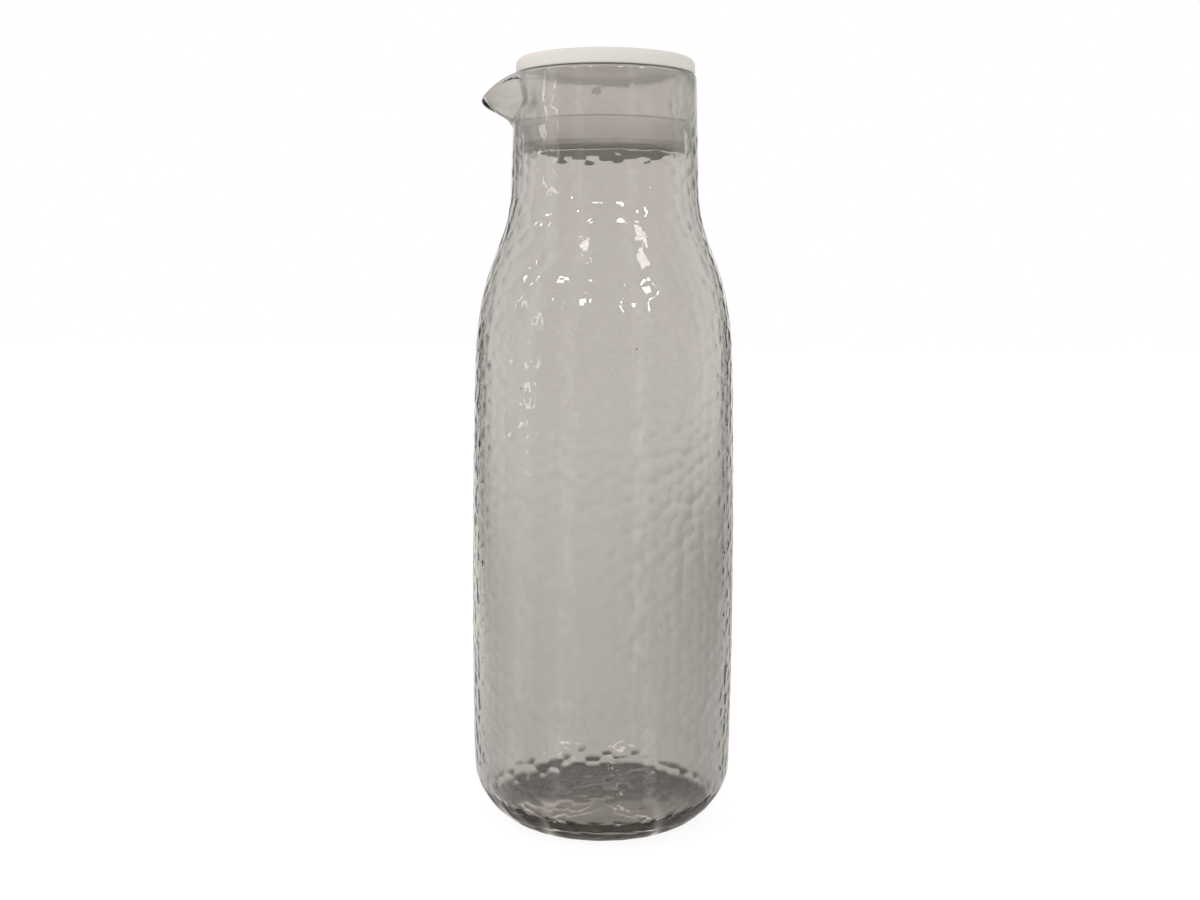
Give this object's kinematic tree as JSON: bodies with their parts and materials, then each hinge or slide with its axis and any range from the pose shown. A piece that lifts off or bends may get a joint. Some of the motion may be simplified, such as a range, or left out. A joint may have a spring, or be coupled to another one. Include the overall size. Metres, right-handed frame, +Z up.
{
  "type": "carafe with lid",
  "caption": "Smoked glass carafe with a narrow neck, a pulled pouring lip and a push-in lid on a hollow plug with a soft seal.",
  "frame": {"origin": "centre of the standing ring under the foot, level with the table", "axes": "+Z up through the neck, -X towards the tip of the pouring lip, -Y towards the viewer"},
  "size_m": [0.09, 0.09, 0.2585],
  "materials": {
    "smoked_glass": "hammered outside, glossy",
    "cap_plastic": "satin moulded",
    "plug_plastic": "clear moulded",
    "seal_silicone": "translucent, soft"
  },
  "bodies": {
    "carafe": {"carafe_body": "smoked_glass"},
    "lid": {"lid_cap": "cap_plastic", "lid_plug": "plug_plastic", "seal_ring": "seal_silicone"}
  },
  "joints": [
    {"name": "lid_lift", "type": "slide", "parent": "carafe", "child": "lid", "axis": [0, 0, 1], "range_m": [0, 0.06]}
  ]
}
